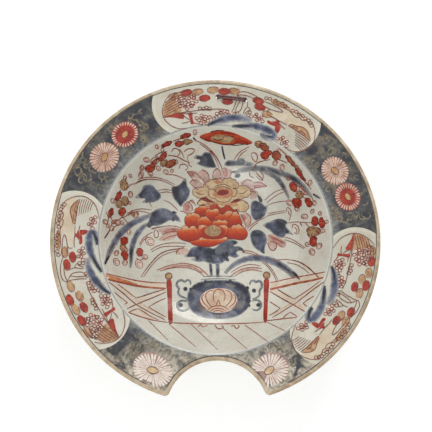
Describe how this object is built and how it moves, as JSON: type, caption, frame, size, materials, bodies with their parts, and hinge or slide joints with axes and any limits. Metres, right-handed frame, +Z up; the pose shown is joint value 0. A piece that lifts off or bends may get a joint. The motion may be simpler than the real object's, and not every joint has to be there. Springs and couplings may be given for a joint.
{
  "type": "barber bowl",
  "caption": "Round glazed porcelain bowl with a deep well, a broad flat painted rim, a neck notch cut out of the rim, a foot ring and a hanging wire.",
  "frame": {"origin": "centre of the foot ring's flat resting face", "axes": "+Z up the bowl's axis out of the well, -Y towards the neck notch, +X to the right of the painted picture"},
  "size_m": [0.276, 0.2691, 0.0594],
  "materials": {
    "brown_line": "thin brown-red drawing",
    "brown_lip": "brown-dressed edge, worn",
    "brown_wire": "old brown iron wire",
    "cobalt_ground": "mottled underglaze cobalt, glossy",
    "gilding": "worn matt gilding",
    "grey_cobalt": "thin grey-blue outline, glossy",
    "iron_red_enamel": "satin iron-red overglaze enamel",
    "panel_border": "cream band with a brown line",
    "panel_glaze": "white glaze with red and gold drawing",
    "porcelain": "glossy blue-white glaze over porcelain, bare at the foot",
    "underglaze_cobalt": "washed underglaze cobalt, glossy",
    "well_glaze": "glossy, faint grey-green tone",
    "white_petals": "white petals with red drawing"
  },
  "bodies": {
    "root": {"blue_blades": "underglaze_cobalt", "blue_leaves": "underglaze_cobalt", "chrysanthemum_hearts": "gilding", "chrysanthemum_lower_left_white": "white_petals", "chrysanthemum_lower_right_white": "white_petals", "chrysanthemum_upper_left_red": "iron_red_enamel", "chrysanthemum_upper_left_white": "white_petals", "chrysanthemum_upper_right_red": "iron_red_enamel", "chrysanthemum_upper_right_white": "white_petals", "cobalt_ground_lower": "cobalt_ground", "cobalt_ground_upper_left": "cobalt_ground", "cobalt_ground_upper_right": "cobalt_ground", "fence_braces": "brown_line", "fence_posts": "iron_red_enamel", "fence_rails": "iron_red_enamel", "flower_stems": "underglaze_cobalt", "foot_ring": "porcelain", "gold_panel_trees": "gilding", "gold_peony": "gilding", "gold_peony_heart": "iron_red_enamel", "gold_plum_flowers": "gilding", "hanging_wire": "brown_wire", "leaf_spray_left": "underglaze_cobalt", "leaf_spray_right": "underglaze_cobalt", "leaf_spray_top": "underglaze_cobalt", "panel_border_left": "panel_border", "panel_border_right": "panel_border", "panel_border_top": "panel_border", "porcelain_body": "porcelain", "red_panel_trees": "iron_red_enamel", "red_peony": "iron_red_enamel", "red_peony_heart": "gilding", "red_plum_flowers": "iron_red_enamel", "rim_lip": "brown_lip", "rim_panel_left": "panel_glaze", "rim_panel_right": "panel_glaze", "rim_panel_top": "panel_glaze", "terrace_line": "brown_line", "thatched_huts": "gilding", "upper_peony": "iron_red_enamel", "upper_peony_heart": "gilding", "vase_body": "underglaze_cobalt", "vase_handles": "grey_cobalt", "vase_medallion": "white_petals", "well_edge_line": "cobalt_ground", "well_glaze": "well_glaze"}
  },
  "joints": []
}
